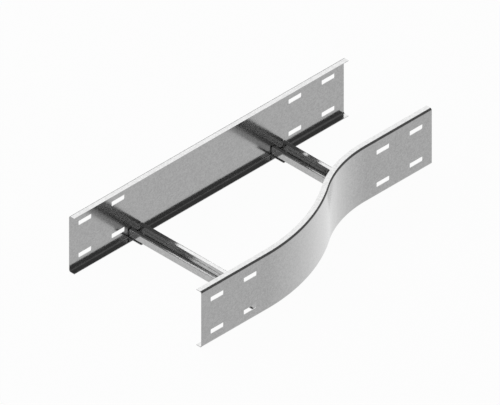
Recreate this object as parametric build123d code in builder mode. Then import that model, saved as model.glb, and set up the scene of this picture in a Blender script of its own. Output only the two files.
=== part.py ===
import os
from math import atan2, degrees, radians, sin

from build123d import *

# Right-hand reducer of a ladder type cable tray, in galvanised steel sheet.
# One side rail is straight and the other is bent to a flat S, so that the
# tray goes from the wide to the narrow width. Two channel rungs, each on two
# welded foot plates, join the rails.
# +X runs from the wide end to the narrow end, +Y points to the straight rail
# and +Z is up. The origin is the middle of the tray's footprint.

# Widths and length of the tray, in mm
wide_clear = 300.0  # clear width between the rails at the wide end
narrow_clear = 199.5  # clear width between the rails at the narrow end
wide_straight = 150.0  # straight stretch of the bent rail at the wide end
bend_run = 325.0  # length of the S along the tray
narrow_straight = 150.0  # straight stretch of the bent rail at the narrow end
wide_bend_radius = 361.0  # plan radius of the first bend, on the web's outside

# Section of the side rails, in mm
rail_height = 110.0
rail_sheet = 1.0
rail_flange = 12.0  # width of the turned-in flanges, over all
rail_fold = 3.75  # outside radius of the folds

# Joint slots in the webs, in mm
slot_length = 29.5
slot_height = 8.5
slot_corner = 1.0  # radius of the slots' corners
slot_from_end = 35.5  # tray end to the middle of the first slot
slot_pitch = 75.5  # middle to middle along the rail
slot_rise = 21.8  # underside of the rail to the middle of the lower slots
slot_lift = 63.5  # middle of the lower to middle of the upper slots

# Rungs, in mm
rung_width = 30.0
rung_height = 15.0
rung_sheet = 1.0
rung_fold = 2.0  # outside radius of the rung's folds
rung_near_lip = 2.3  # lip on the side of the wide end, over all
rung_far_lip = 8.0  # lip on the side of the narrow end, over all
wide_rung_from_end = 149.5  # wide end of the tray to the middle of its rung
narrow_rung_from_end = 151.0  # narrow end of the tray to the middle of its rung

# Foot plates that carry the rungs' ends, in mm
foot_sheet = 1.0
foot_margin = 2.0  # how far a plate stands out on each side of its rung
foot_length = 32.0  # from the outside of the rail's web inwards
foot_corner = 2.0  # radius of the plate's free corners

# Places that follow from these
tray_length = wide_straight + bend_run + narrow_straight
reduction = wide_clear - narrow_clear
wide_over_all = wide_clear + 2 * rail_sheet
start_x = -tray_length / 2
end_x = tray_length / 2
straight_y = wide_over_all / 2
wide_y = -wide_over_all / 2
narrow_y = wide_y + reduction
foot_z = rail_sheet
rung_z = foot_z + foot_sheet
wide_rung_x = start_x + wide_rung_from_end
narrow_rung_x = end_x - narrow_rung_from_end

# The S is two arcs of equal turn that meet with a common tangent. The chord
# from its start to its end makes half the turn with the tray's axis.
bend_turn = 2 * degrees(atan2(reduction, bend_run))
narrow_bend_radius = bend_run / sin(radians(bend_turn)) - wide_bend_radius


def rail_section(inward):
    """C section of a side rail in a plane that faces along the tray: the
    outside of the web on x = 0 and the flanges towards inward, 1 or -1."""
    side = Side.RIGHT if inward > 0 else Side.LEFT
    with BuildSketch(Plane.XY) as section:
        with BuildLine():
            outside = FilletPolyline(
                (inward * rail_flange, 0),
                (0, 0),
                (0, rail_height),
                (inward * rail_flange, rail_height),
                radius=rail_fold,
            )
            offset(outside, amount=rail_sheet, side=side)
        make_face()
    return section.sketch


def joint_slots(first_x, web_y):
    """The four slots of one end, on the plane of the web at web_y."""
    middle = (first_x + slot_pitch / 2, web_y, slot_rise + slot_lift / 2)
    with BuildSketch(Plane(middle, x_dir=(1, 0, 0), z_dir=(0, -1, 0))) as slots:
        with GridLocations(slot_pitch, slot_lift, 2, 2):
            RectangleRounded(slot_length, slot_height, slot_corner)
    return slots.sketch


slot_reach = rail_flange / 2
wide_slots_x = start_x + slot_from_end
narrow_slots_x = end_x - slot_from_end - slot_pitch

with BuildPart() as straight_rail:
    with BuildSketch(Plane((start_x, straight_y, 0), x_dir=(0, 1, 0), z_dir=(1, 0, 0))):
        add(rail_section(-1))
    extrude(amount=tray_length)
    extrude(joint_slots(wide_slots_x, straight_y), slot_reach, both=True, mode=Mode.SUBTRACT)
    extrude(joint_slots(narrow_slots_x, straight_y), slot_reach, both=True, mode=Mode.SUBTRACT)

with BuildPart() as bent_rail:
    with BuildLine() as run:
        wide_part = Line((start_x, wide_y), (start_x + wide_straight, wide_y))
        wide_bend = JernArc(wide_part @ 1, wide_part % 1, wide_bend_radius, bend_turn)
        narrow_bend = JernArc(wide_bend @ 1, wide_bend % 1, narrow_bend_radius, -bend_turn)
        Line(narrow_bend @ 1, (end_x, narrow_y))
    with BuildSketch(Plane((start_x, wide_y, 0), x_dir=(0, 1, 0), z_dir=(1, 0, 0))):
        add(rail_section(1))
    sweep(path=run.line)
    extrude(joint_slots(wide_slots_x, wide_y), slot_reach, both=True, mode=Mode.SUBTRACT)
    extrude(joint_slots(narrow_slots_x, narrow_y), slot_reach, both=True, mode=Mode.SUBTRACT)


def rung(middle_x, bent_y):
    """Channel rung with its slot upwards, from web to web: its ends are coped
    to the rails that they butt against."""
    half = rung_width / 2
    top = rung_z + rung_height
    half_web = rail_sheet / 2
    far_y = straight_y - half_web
    with BuildPart() as channel:
        with BuildSketch(Plane((0, far_y, 0), x_dir=(1, 0, 0), z_dir=(0, -1, 0))):
            with BuildLine():
                outside = FilletPolyline(
                    (middle_x - half + rung_near_lip, top),
                    (middle_x - half, top),
                    (middle_x - half, rung_z),
                    (middle_x + half, rung_z),
                    (middle_x + half, top),
                    (middle_x + half - rung_far_lip, top),
                    radius=rung_fold,
                )
                offset(outside, amount=rung_sheet, side=Side.LEFT)
            make_face()
        extrude(amount=far_y - bent_y - half_web)
        add(straight_rail.part, mode=Mode.SUBTRACT)
        add(bent_rail.part, mode=Mode.SUBTRACT)
    return channel.part.solids().sort_by(SortBy.VOLUME)[-1]


def foot(rung_x, web_y, inward):
    """Plate between a rung's end and the rail's lower flange, coped to the
    fold beside the web. Its two free corners are rounded."""
    half = rung_width / 2 + foot_margin
    with BuildPart() as plate:
        with BuildSketch(Plane.XY.offset(foot_z)):
            with Locations((rung_x, web_y + inward * foot_length / 2)):
                outline = Rectangle(2 * half, foot_length)
            fillet(outline.vertices().sort_by(Axis.Y)[::inward][2:], foot_corner)
        extrude(amount=foot_sheet)
        add(straight_rail.part, mode=Mode.SUBTRACT)
        add(bent_rail.part, mode=Mode.SUBTRACT)
    return plate.part.solids().sort_by(SortBy.VOLUME)[-1]


with BuildPart() as wide_rung:
    add(rung(wide_rung_x, wide_y))

with BuildPart() as narrow_rung:
    add(rung(narrow_rung_x, narrow_y))

with BuildPart() as wide_straight_foot:
    add(foot(wide_rung_x, straight_y, -1))

with BuildPart() as wide_bent_foot:
    add(foot(wide_rung_x, wide_y, 1))

with BuildPart() as narrow_straight_foot:
    add(foot(narrow_rung_x, straight_y, -1))

with BuildPart() as narrow_bent_foot:
    add(foot(narrow_rung_x, narrow_y, 1))

pieces = {
    "straight_rail": straight_rail,
    "bent_rail": bent_rail,
    "wide_rung": wide_rung,
    "narrow_rung": narrow_rung,
    "wide_straight_foot": wide_straight_foot,
    "wide_bent_foot": wide_bent_foot,
    "narrow_straight_foot": narrow_straight_foot,
    "narrow_bent_foot": narrow_bent_foot,
}
os.makedirs("parts", exist_ok=True)
for name, piece in pieces.items():
    piece.part.label = name
    export_step(piece.part, f"parts/{name}.step")
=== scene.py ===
import math

import bpy
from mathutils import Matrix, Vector


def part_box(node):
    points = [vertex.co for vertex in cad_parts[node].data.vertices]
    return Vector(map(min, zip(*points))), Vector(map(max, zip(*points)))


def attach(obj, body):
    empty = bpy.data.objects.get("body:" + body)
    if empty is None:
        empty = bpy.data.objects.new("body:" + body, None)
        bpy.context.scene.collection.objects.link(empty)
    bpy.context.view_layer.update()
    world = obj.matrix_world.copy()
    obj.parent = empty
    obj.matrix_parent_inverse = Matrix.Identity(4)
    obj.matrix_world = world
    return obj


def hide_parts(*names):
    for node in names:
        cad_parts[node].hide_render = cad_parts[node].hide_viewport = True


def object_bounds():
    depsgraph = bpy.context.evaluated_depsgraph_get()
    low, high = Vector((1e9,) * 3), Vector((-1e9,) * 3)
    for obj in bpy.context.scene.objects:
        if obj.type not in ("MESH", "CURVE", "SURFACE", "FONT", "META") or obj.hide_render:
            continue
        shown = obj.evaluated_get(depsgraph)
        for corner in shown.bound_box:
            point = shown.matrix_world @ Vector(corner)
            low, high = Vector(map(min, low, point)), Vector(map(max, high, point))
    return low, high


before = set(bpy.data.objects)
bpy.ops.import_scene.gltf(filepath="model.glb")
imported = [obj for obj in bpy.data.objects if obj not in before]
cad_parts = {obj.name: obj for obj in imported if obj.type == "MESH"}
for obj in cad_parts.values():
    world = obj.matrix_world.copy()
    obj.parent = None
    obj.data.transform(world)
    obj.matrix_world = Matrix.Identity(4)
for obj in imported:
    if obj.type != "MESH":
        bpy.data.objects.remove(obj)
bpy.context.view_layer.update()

# Side rails.
# Each is one length of galvanised steel sheet, slotted at both ends and folded
# to a C with its flanges inwards. One stays straight. The other is then bent
# in plan to the flat S that takes the tray from its wide to its narrow width.

rail_sheet = 0.001
rail_flange = 0.012
rail_fold = 0.00375
rail_fold_steps = 10
wide_straight = 0.150
bend_run = 0.325
wide_bend_radius = 0.361
bend_step = 0.004
slot_length = 0.0295
slot_height = 0.0085
slot_corner = 0.001
slot_corner_steps = 4
slot_from_end = 0.0355
slot_pitch = 0.0755
slot_rise = 0.0218
slot_lift = 0.0635
crisp_angle = math.radians(40)

zinc_grey = (0.305, 0.305, 0.305)
crystal_size = 0.0028
crystal_contrast = 0.225
grain_size = 0.0016
grain_contrast = 0.36
coat_relief = 0.00001
film_ior = 4.0
rail_film = {"rise": 2.55, "offset": -0.80, "roughness": 0.13}

straight_low, straight_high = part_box("straight_rail")
bent_low, bent_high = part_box("bent_rail")
start_x, end_x = straight_low.x, straight_high.x
rail_height = straight_high.z - straight_low.z
web_middle = straight_low.z + rail_height / 2
straight_y = straight_high.y
wide_y = bent_low.y
narrow_y = bent_high.y - rail_flange
slots_middle = slot_from_end + slot_pitch / 2
slots_height = straight_low.z + slot_rise + slot_lift / 2


def new_tree(name, kind, takes, gives):
    """An empty node tree with named sockets. takes and gives say what type
    each socket has, such as Float."""
    tree = bpy.data.node_groups.new(name, kind)
    for way, sockets in (("INPUT", takes), ("OUTPUT", gives)):
        for label, value in sockets.items():
            tree.interface.new_socket(label, in_out=way, socket_type="NodeSocket" + value)
    return tree


def put(tree, kind, feeds=None, **settings):
    """A node with its settings, and what feeds its inputs: sockets or values."""
    node = tree.nodes.new(kind)
    node.location = (200 * len(tree.nodes), 0)
    for name, value in settings.items():
        setattr(node, name, value)
    for place, value in (feeds or {}).items():
        if isinstance(value, bpy.types.NodeSocket):
            tree.links.new(value, node.inputs[place])
        else:
            node.inputs[place].default_value = value
    return node


def out(tree, kind, feeds=None, **settings):
    """The first output of such a node."""
    return put(tree, kind, feeds, **settings).outputs[0]


def calc(tree, operation, *values):
    """The result of a Math node."""
    return out(tree, "ShaderNodeMath", dict(enumerate(values)), operation=operation)


def point(tree, x, y, z=0.0):
    """A vector put together from three numbers or sockets."""
    return out(tree, "ShaderNodeCombineXYZ", {0: x, 1: y, 2: z})


def s_bend_tree():
    """Moves a straight path sideways by a rule: an arc away from its line and
    an arc back to it, with a common tangent where they meet."""
    tree = new_tree(
        "s_bend",
        "GeometryNodeTree",
        {
            "Path": "Geometry",
            "Bend Start": "Float",
            "Bend Run": "Float",
            "Offset": "Float",
            "First Radius": "Float",
            "Step": "Float",
        },
        {"Path": "Geometry"},
    )
    given = put(tree, "NodeGroupInput").outputs
    run, first = given["Bend Run"], given["First Radius"]
    turn = calc(tree, "MULTIPLY", calc(tree, "ARCTAN2", given["Offset"], run), 2.0)
    sine = calc(tree, "SINE", turn)
    second = calc(tree, "SUBTRACT", calc(tree, "DIVIDE", run, sine), first)
    place = out(tree, "GeometryNodeInputPosition")
    along = out(tree, "ShaderNodeSeparateXYZ", {0: place})
    passed = calc(tree, "SUBTRACT", along, given["Bend Start"])

    def arc_rise(reach, radius):
        """Rise of an arc at a reach from its start, level past both its ends."""
        held = calc(tree, "MAXIMUM", reach, 0.0)
        held = calc(tree, "MINIMUM", held, calc(tree, "MULTIPLY", radius, sine))
        share = calc(tree, "ARCSINE", calc(tree, "DIVIDE", held, radius))
        drop = calc(tree, "MULTIPLY", radius, calc(tree, "COSINE", share))
        return calc(tree, "SUBTRACT", radius, drop)

    away = arc_rise(passed, first)
    to_go = calc(tree, "SUBTRACT", run, passed)
    back = calc(tree, "SUBTRACT", arc_rise(run, second), arc_rise(to_go, second))
    sideways = point(tree, 0.0, calc(tree, "ADD", away, back))
    path = out(tree, "GeometryNodeMeshToCurve", {"Mesh": given["Path"]})
    path = out(
        tree,
        "GeometryNodeResampleCurve",
        {"Curve": path, "Length": given["Step"]},
        mode="LENGTH",
    )
    path = out(tree, "GeometryNodeSetPosition", {"Geometry": path, "Offset": sideways})
    path = out(tree, "GeometryNodeCurveToMesh", {"Curve": path})
    put(tree, "NodeGroupOutput", {"Path": path})
    return tree


def folded_channel_tree():
    """Sheet folded to a channel along a path that runs on the middle of the
    base's outside. The walls stand on the base. With Lips on they end in lips
    that are turned to the inside and hang by their drops at their edges."""
    tree = new_tree(
        "folded_channel",
        "GeometryNodeTree",
        {
            "Path": "Geometry",
            "Base": "Float",
            "Wall": "Float",
            "Lips": "Bool",
            "Near Lip": "Float",
            "Far Lip": "Float",
            "Near Drop": "Float",
            "Far Drop": "Float",
            "Sheet": "Float",
            "Fold": "Float",
            "Fold Steps": "Int",
            "Roll": "Float",
            "Finish": "Material",
        },
        {"Sheet Metal": "Geometry"},
    )
    given = put(tree, "NodeGroupInput").outputs
    half = calc(tree, "DIVIDE", given["Sheet"], 2.0)
    right = calc(tree, "SUBTRACT", calc(tree, "DIVIDE", given["Base"], 2.0), half)
    left = calc(tree, "MULTIPLY", right, -1.0)
    inner = calc(tree, "SUBTRACT", given["Wall"], half)
    top = out(
        tree,
        "GeometryNodeSwitch",
        {"Switch": given["Lips"], "False": given["Wall"], "True": inner},
        input_type="FLOAT",
    )
    left_end = calc(tree, "SUBTRACT", calc(tree, "ADD", left, given["Near Lip"]), half)
    right_end = calc(tree, "ADD", calc(tree, "SUBTRACT", right, given["Far Lip"]), half)
    corners = [
        point(tree, left_end, calc(tree, "SUBTRACT", top, given["Near Drop"])),
        point(tree, left, top),
        point(tree, left, half),
        point(tree, right, half),
        point(tree, right, top),
        point(tree, right_end, calc(tree, "SUBTRACT", top, given["Far Drop"])),
    ]
    # Without lips the first and the last corner are left out.
    number = out(tree, "GeometryNodeInputIndex")
    skipped = calc(tree, "SUBTRACT", 1.0, given["Lips"])
    choice = put(tree, "GeometryNodeIndexSwitch", data_type="VECTOR")
    while len(choice.index_switch_items) < len(corners):
        choice.index_switch_items.new()
    tree.links.new(calc(tree, "ADD", number, skipped), choice.inputs[0])
    for socket, corner in zip(choice.inputs[1:], corners):
        tree.links.new(corner, socket)
    used = calc(tree, "MULTIPLY_ADD", given["Lips"], 2.0, len(corners) - 2.0)
    middle = out(tree, "GeometryNodeMeshLine", {"Count": used})
    middle = out(
        tree, "GeometryNodeSetPosition", {"Geometry": middle, "Position": choice.outputs[0]}
    )
    middle = out(tree, "GeometryNodeMeshToCurve", {"Mesh": middle})
    middle = out(
        tree,
        "GeometryNodeFilletCurve",
        {
            "Curve": middle,
            "Count": given["Fold Steps"],
            "Radius": calc(tree, "SUBTRACT", given["Fold"], half),
        },
        mode="POLY",
    )
    # A ribbon as wide as the sheet is thick lies flat along the folded line,
    # and its rim is the outline of the section.
    across = out(
        tree,
        "GeometryNodeCurvePrimitiveLine",
        {
            "Start": point(tree, calc(tree, "MULTIPLY", half, -1.0), 0.0),
            "End": point(tree, half, 0.0),
        },
    )
    middle = out(tree, "GeometryNodeSetCurveNormal", {"Curve": middle}, mode="Z_UP")
    ribbon = out(tree, "GeometryNodeCurveToMesh", {"Curve": middle, "Profile Curve": across})
    neighbours = out(tree, "GeometryNodeInputMeshEdgeNeighbors")
    on_rim = out(
        tree, "FunctionNodeCompare", {2: neighbours, 3: 1}, data_type="INT", operation="EQUAL"
    )
    rim = out(tree, "GeometryNodeMeshToCurve", {"Mesh": ribbon, "Selection": on_rim})
    # The frame that a level path carries has its second axis downwards.
    turned = calc(tree, "ADD", given["Roll"], math.pi)
    rim = out(
        tree,
        "GeometryNodeTransform",
        {"Geometry": rim, "Rotation": point(tree, 0.0, 0.0, turned)},
    )
    path = out(tree, "GeometryNodeMeshToCurve", {"Mesh": given["Path"]})
    path = out(tree, "GeometryNodeSetCurveNormal", {"Curve": path}, mode="Z_UP")
    metal = out(
        tree,
        "GeometryNodeCurveToMesh",
        {"Curve": path, "Profile Curve": rim, "Fill Caps": True},
    )
    metal = out(tree, "GeometryNodeRealizeInstances", {"Geometry": metal})
    metal = out(tree, "GeometryNodeSetMaterial", {"Geometry": metal, "Material": given["Finish"]})
    put(tree, "NodeGroupOutput", {"Sheet Metal": metal})
    return tree


def slot_punch_tree():
    """Punches two by two slots with rounded corners at each end of a rail."""
    tree = new_tree(
        "slot_punch",
        "GeometryNodeTree",
        {
            "Sheet Metal": "Geometry",
            "Wide End": "Vector",
            "Narrow End": "Vector",
            "Pitch": "Float",
            "Lift": "Float",
            "Length": "Float",
            "Height": "Float",
            "Corner": "Float",
            "Corner Steps": "Int",
            "Reach": "Float",
            "Finish": "Material",
        },
        {"Sheet Metal": "Geometry"},
    )
    given = put(tree, "NodeGroupInput").outputs
    outline = out(
        tree,
        "GeometryNodeCurvePrimitiveQuadrilateral",
        {"Width": given["Length"], "Height": given["Height"]},
    )
    outline = out(
        tree,
        "GeometryNodeFilletCurve",
        {"Curve": outline, "Count": given["Corner Steps"], "Radius": given["Corner"]},
        mode="POLY",
    )
    stroke = out(
        tree,
        "GeometryNodeCurvePrimitiveLine",
        {
            "Start": point(tree, 0.0, calc(tree, "MULTIPLY", given["Reach"], -1.0)),
            "End": point(tree, 0.0, given["Reach"]),
        },
    )
    stroke = out(tree, "GeometryNodeSetCurveNormal", {"Curve": stroke}, mode="Z_UP")
    punch = out(
        tree,
        "GeometryNodeCurveToMesh",
        {"Curve": stroke, "Profile Curve": outline, "Fill Caps": True},
    )
    grid = out(
        tree,
        "GeometryNodeMeshGrid",
        {"Size X": given["Pitch"], "Size Y": given["Lift"], "Vertices X": 2, "Vertices Y": 2},
    )
    upright = point(tree, math.pi / 2, 0.0)
    both_ends = put(tree, "GeometryNodeJoinGeometry")
    for end in ("Wide End", "Narrow End"):
        spots = out(
            tree,
            "GeometryNodeTransform",
            {"Geometry": grid, "Translation": given[end], "Rotation": upright},
        )
        tree.links.new(spots, both_ends.inputs[0])
    punches = out(
        tree,
        "GeometryNodeInstanceOnPoints",
        {"Points": both_ends.outputs[0], "Instance": punch},
    )
    punches = out(tree, "GeometryNodeRealizeInstances", {"Geometry": punches})
    metal = out(
        tree,
        "GeometryNodeMeshBoolean",
        {"Mesh 1": given["Sheet Metal"], "Mesh 2": punches},
        operation="DIFFERENCE",
        solver="EXACT",
    )
    metal = out(tree, "GeometryNodeRealizeInstances", {"Geometry": metal})
    metal = out(tree, "GeometryNodeSetMaterial", {"Geometry": metal, "Material": given["Finish"]})
    put(tree, "NodeGroupOutput", {"Sheet Metal": metal})
    return tree


def shape_along(name, path, *stages):
    """A piece shaped from a path's points by trees, one after the other, each
    with its sizes. It comes back as a plain mesh with crisp sheared edges."""
    wire = bpy.data.meshes.new(name)
    wire.from_pydata(path, [(spot, spot + 1) for spot in range(len(path) - 1)], [])
    piece = bpy.data.objects.new(name, wire)
    bpy.context.scene.collection.objects.link(piece)
    for tree, sizes in stages:
        modifier = piece.modifiers.new(tree.name, "NODES")
        modifier.node_group = tree
        for socket in tree.interface.items_tree:
            if socket.in_out == "INPUT" and socket.name in sizes:
                modifier[socket.identifier] = sizes[socket.name]
    shaped = piece.evaluated_get(bpy.context.evaluated_depsgraph_get())
    mesh = bpy.data.meshes.new_from_object(shaped)
    piece.modifiers.clear()
    piece.data = mesh
    mesh.name = name
    mesh.polygons.foreach_set("use_smooth", [True] * len(mesh.polygons))
    mesh.set_sharp_from_angle(angle=crisp_angle)
    crisp = piece.modifiers.new("crisp", "WEIGHTED_NORMAL")
    crisp.keep_sharp = True
    crisp.weight = 100
    return piece


def zinc_coat_group():
    """Zinc on sheet steel: small crystals, each of its own shade and gloss,
    under a fine grain."""
    group = new_tree(
        "zinc_coat",
        "ShaderNodeTree",
        {
            "Colour": "Color",
            "Crystal Size": "Float",
            "Crystal Contrast": "Float",
            "Grain Size": "Float",
            "Grain Contrast": "Float",
            "Roughness": "Float",
            "Roughness Spread": "Float",
        },
        {"Colour": "Color", "Roughness": "Float", "Height": "Float"},
    )
    given = put(group, "NodeGroupInput").outputs
    place = put(group, "ShaderNodeTexCoord").outputs["Object"]
    crystals = put(
        group,
        "ShaderNodeTexVoronoi",
        {"Vector": place, "Scale": calc(group, "DIVIDE", 1.0, given["Crystal Size"])},
    ).outputs["Color"]
    shade = out(group, "ShaderNodeSeparateColor", {0: crystals})
    shade = calc(group, "SUBTRACT", shade, 0.5)
    grain = put(
        group,
        "ShaderNodeTexNoise",
        {"Vector": place, "Scale": calc(group, "DIVIDE", 1.0, given["Grain Size"]), "Detail": 2.0},
    ).outputs["Fac"]
    grain = calc(group, "SUBTRACT", grain, 0.5)
    tone = calc(group, "MULTIPLY_ADD", shade, given["Crystal Contrast"], 1.0)
    tone = calc(group, "MULTIPLY_ADD", grain, given["Grain Contrast"], tone)
    colour = out(
        group, "ShaderNodeVectorMath", {0: given["Colour"], "Scale": tone}, operation="SCALE"
    )
    rough = calc(group, "MULTIPLY_ADD", shade, given["Roughness Spread"], given["Roughness"])
    height = calc(group, "ADD", shade, grain)
    put(group, "NodeGroupOutput", {"Colour": colour, "Roughness": rough, "Height": height})
    return group


def zinc_finish(name, colour, film, roughness, roughness_spread, metal_share=1.0):
    """Steel under its zinc coat, which varies in shade and gloss from crystal to
    crystal. The coat's bright film shows where the metal turns away from the
    eye: its weight is that turn times the film's rise, plus its offset."""
    finish = bpy.data.materials.new(name)
    finish.use_nodes = True
    tree = finish.node_tree
    coat = put(tree, "ShaderNodeGroup", node_tree=zinc_coat)
    grades = {
        "Colour": (*colour, 1.0),
        "Crystal Size": crystal_size,
        "Crystal Contrast": crystal_contrast,
        "Grain Size": grain_size,
        "Grain Contrast": grain_contrast,
        "Roughness": roughness,
        "Roughness Spread": roughness_spread,
    }
    for grade, value in grades.items():
        coat.inputs[grade].default_value = value
    relief = out(
        tree,
        "ShaderNodeBump",
        {"Height": coat.outputs["Height"], "Strength": 1.0, "Distance": coat_relief},
    )
    turn = put(tree, "ShaderNodeLayerWeight", {"Blend": 0.5}).outputs["Facing"]
    weight = calc(tree, "MULTIPLY_ADD", turn, film["rise"], film["offset"])
    weight = calc(tree, "MINIMUM", calc(tree, "MAXIMUM", weight, 0.0), 1.0)
    metal = tree.nodes["Principled BSDF"]
    metal.inputs["Metallic"].default_value = metal_share
    metal.inputs["Coat IOR"].default_value = film_ior
    metal.inputs["Coat Roughness"].default_value = film["roughness"]
    tree.links.new(weight, metal.inputs["Coat Weight"])
    tree.links.new(coat.outputs["Colour"], metal.inputs["Base Color"])
    tree.links.new(coat.outputs["Roughness"], metal.inputs["Roughness"])
    tree.links.new(relief, metal.inputs["Normal"])
    return finish


s_bend = s_bend_tree()
folded_channel = folded_channel_tree()
slot_punch = slot_punch_tree()
zinc_coat = zinc_coat_group()
rail_zinc = zinc_finish(
    "rail_zinc", zinc_grey, rail_film, roughness=0.16, roughness_spread=0.04
)


def rail_sizes(walls_to):
    """Sizes of a rail whose flanges point to walls_to, 1 or -1 along Y."""
    return {
        "Base": rail_height,
        "Wall": rail_flange,
        "Sheet": rail_sheet,
        "Fold": rail_fold,
        "Fold Steps": rail_fold_steps,
        "Roll": -walls_to * math.pi / 2,
        "Finish": rail_zinc,
    }


def slot_sizes(wide_end_y, narrow_end_y):
    """Sizes and places of the slots in a rail whose ends lie at these y."""
    return {
        "Wide End": (start_x + slots_middle, wide_end_y, slots_height),
        "Narrow End": (end_x - slots_middle, narrow_end_y, slots_height),
        "Pitch": slot_pitch,
        "Lift": slot_lift,
        "Length": slot_length,
        "Height": slot_height,
        "Corner": slot_corner,
        "Corner Steps": slot_corner_steps,
        "Reach": rail_flange / 2,
        "Finish": rail_zinc,
    }


straight_rail = shape_along(
    "straight_rail_sheet",
    [(start_x, straight_y, web_middle), (end_x, straight_y, web_middle)],
    (folded_channel, rail_sizes(-1)),
    (slot_punch, slot_sizes(straight_y, straight_y)),
)
bend_sizes = {
    "Bend Start": start_x + wide_straight,
    "Bend Run": bend_run,
    "Offset": narrow_y - wide_y,
    "First Radius": wide_bend_radius,
    "Step": bend_step,
}
bent_rail = shape_along(
    "bent_rail_sheet",
    [(start_x, wide_y, web_middle), (end_x, wide_y, web_middle)],
    (s_bend, bend_sizes),
    (folded_channel, rail_sizes(1)),
    (slot_punch, slot_sizes(wide_y, narrow_y)),
)
for rail, node in ((straight_rail, "straight_rail"), (bent_rail, "bent_rail")):
    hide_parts(node)
    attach(rail, "root")

# Rungs.
# Each is a channel of the same sheet with its open side up and its walls turned
# in to two lips that hang a little. It is cut to end just short of the rails'
# webs.

rung_sheet = 0.001
rung_fold = 0.002
rung_fold_steps = 8
rung_near_lip = 0.007
rung_far_lip = 0.0075
rung_near_drop = 0.00135
rung_far_drop = 0.0011
rung_extra_wall = 0.0005  # makes up for what the rung's top loses by the lips' slope
rung_gap = 0.002

rung_grey = (0.392, 0.392, 0.392)
rung_film = {"rise": 1.2, "offset": -0.23, "roughness": 0.10}
rung_zinc = zinc_finish(
    "rung_zinc", rung_grey, rung_film, roughness=0.12, roughness_spread=0.04, metal_share=0.85
)

for node in ("wide_rung", "narrow_rung"):
    low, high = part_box(node)
    middle_x = (low.x + high.x) / 2
    rung_sizes = {
        "Base": high.x - low.x,
        "Wall": high.z - low.z + rung_extra_wall,
        "Lips": True,
        "Near Lip": rung_near_lip,
        "Far Lip": rung_far_lip,
        "Near Drop": rung_near_drop,
        "Far Drop": rung_far_drop,
        "Sheet": rung_sheet,
        "Fold": rung_fold,
        "Fold Steps": rung_fold_steps,
        "Roll": 0.0,
        "Finish": rung_zinc,
    }
    rung = shape_along(
        node + "_channel",
        [(middle_x, high.y - rung_gap, low.z), (middle_x, low.y + rung_gap, low.z)],
        (folded_channel, rung_sizes),
    )
    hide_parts(node)
    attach(rung, "root")

# Foot plates.
# Each is a small sheared plate between a rung's end and the rail's lower
# flange, a little wider than the rung, as it comes from the part file. Here it
# only gets its zinc finish.

foot_zinc = zinc_finish(
    "foot_zinc", zinc_grey, rail_film, roughness=0.24, roughness_spread=0.05
)

feet = ("wide_straight_foot", "wide_bent_foot", "narrow_straight_foot", "narrow_bent_foot")
for node in feet:
    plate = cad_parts[node]
    plate.data.materials.clear()
    plate.data.materials.append(foot_zinc)

# Floor.
# A plain white board under the tray, with a faint soft shadow of it. The metal
# doesn't mirror the board, but the white of the room below it.

floor_reach = 6.0
floor_gap = 0.0005
floor_white = 0.987
floor_share = 0.98  # of plain white in what is seen, the rest is the board with its shadow
board_grey = 0.9
board_roughness = 0.9

floor_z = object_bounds()[0].z - floor_gap
floor_mesh = bpy.data.meshes.new("floor")
floor_mesh.from_pydata(
    [
        (-floor_reach, -floor_reach, floor_z),
        (floor_reach, -floor_reach, floor_z),
        (floor_reach, floor_reach, floor_z),
        (-floor_reach, floor_reach, floor_z),
    ],
    [],
    [(0, 1, 2, 3)],
)
floor = bpy.data.objects.new("floor", floor_mesh)
bpy.context.scene.collection.objects.link(floor)
board = bpy.data.materials.new("white_board")
board.use_nodes = True
tree = board.node_tree
matt = tree.nodes["Principled BSDF"]
matt.inputs["Base Color"].default_value = (board_grey, board_grey, board_grey, 1.0)
matt.inputs["Roughness"].default_value = board_roughness
rays = put(tree, "ShaderNodeLightPath").outputs
seen = calc(tree, "MAXIMUM", rays["Is Camera Ray"], rays["Is Glossy Ray"])
seen = calc(tree, "MAXIMUM", seen, rays["Is Transmission Ray"])
plain = out(tree, "ShaderNodeEmission", {"Color": (1.0, 1.0, 1.0, 1.0), "Strength": floor_white})
shown = put(tree, "ShaderNodeMixShader", {0: calc(tree, "MULTIPLY", seen, floor_share)})
tree.links.new(matt.outputs[0], shown.inputs[1])
tree.links.new(plain, shown.inputs[2])
tree.links.new(shown.outputs[0], tree.nodes["Material Output"].inputs["Surface"])
floor_mesh.materials.append(board)
floor.visible_glossy = False

# Studio light.
# Three large soft boxes, behind the tray, in front of it and to its left, light
# its upward faces. The room is dim above, so the metal keeps its dark edges,
# and as white as the floor below.

room_level = 0.2
white_starts = -0.19  # height of a look down at which the room begins to turn white
white_full = -0.25


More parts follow.
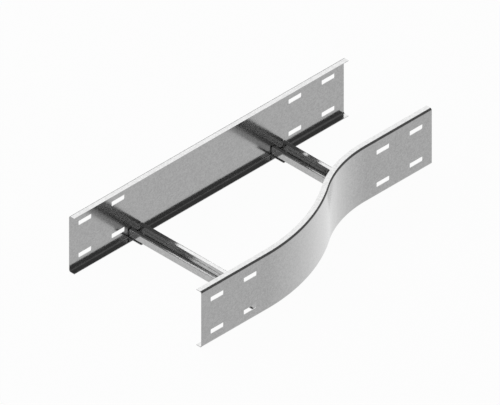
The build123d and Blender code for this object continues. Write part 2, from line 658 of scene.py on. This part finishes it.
def soft_box(name, place, width, height, level):
    """A soft box that faces the tray. level is how bright its face looks."""
    lamp = bpy.data.lights.new(name, "AREA")
    lamp.shape = "RECTANGLE"
    lamp.size = width
    lamp.size_y = height
    lamp.energy = level * math.pi * width * height
    box = bpy.data.objects.new(name, lamp)
    bpy.context.scene.collection.objects.link(box)
    box.location = place
    box.rotation_euler = (-Vector(place)).to_track_quat("-Z", "Y").to_euler()
    box.visible_camera = False


soft_box("soft_box_behind", (2.2, 3.2, 3.0), width=5.0, height=2.8, level=2.0)
soft_box("soft_box_front", (-3.0, -3.0, 3.0), width=4.0, height=3.0, level=1.0)
soft_box("soft_box_left", (-3.2, 2.2, 3.0), width=5.0, height=2.6, level=2.3)

world = bpy.data.worlds.new("studio")
bpy.context.scene.world = world
world.use_nodes = True
tree = world.node_tree
look = put(tree, "ShaderNodeTexCoord").outputs["Generated"]
look_height = put(tree, "ShaderNodeSeparateXYZ", {0: look}).outputs["Z"]
strength = out(
    tree,
    "ShaderNodeMapRange",
    {
        "Value": look_height,
        "From Min": white_starts,
        "From Max": white_full,
        "To Min": room_level,
        "To Max": floor_white,
    },
)
room = tree.nodes["Background"]
room.inputs["Color"].default_value = (1.0, 1.0, 1.0, 1.0)
tree.links.new(strength, room.inputs["Strength"])
backdrop = out(
    tree, "ShaderNodeBackground", {"Color": (1.0, 1.0, 1.0, 1.0), "Strength": floor_white}
)
rays = put(tree, "ShaderNodeLightPath").outputs
shown = put(tree, "ShaderNodeMixShader", {0: rays["Is Camera Ray"]})
tree.links.new(room.outputs[0], shown.inputs[1])
tree.links.new(backdrop, shown.inputs[2])
tree.links.new(shown.outputs[0], tree.nodes["World Output"].inputs["Surface"])

# Camera.
# It looks down on the tray as in an isometric drawing, from the bent rail's
# side at the wide end, with no perspective.

view_width = 0.8055
view_centre = Vector((0.0292, 0.0804, 0.0005))
view_from = Vector((-1.0, -1.0, 1.0)).normalized()
view_distance = 3.0

lens = bpy.data.cameras.new("camera")
lens.type = "ORTHO"
lens.ortho_scale = view_width
camera = bpy.data.objects.new("camera", lens)
bpy.context.scene.collection.objects.link(camera)
camera.location = view_centre + view_distance * view_from
camera.rotation_euler = (-view_from).to_track_quat("-Z", "Y").to_euler()
bpy.context.scene.camera = camera
bpy.context.scene.view_settings.view_transform = "Standard"
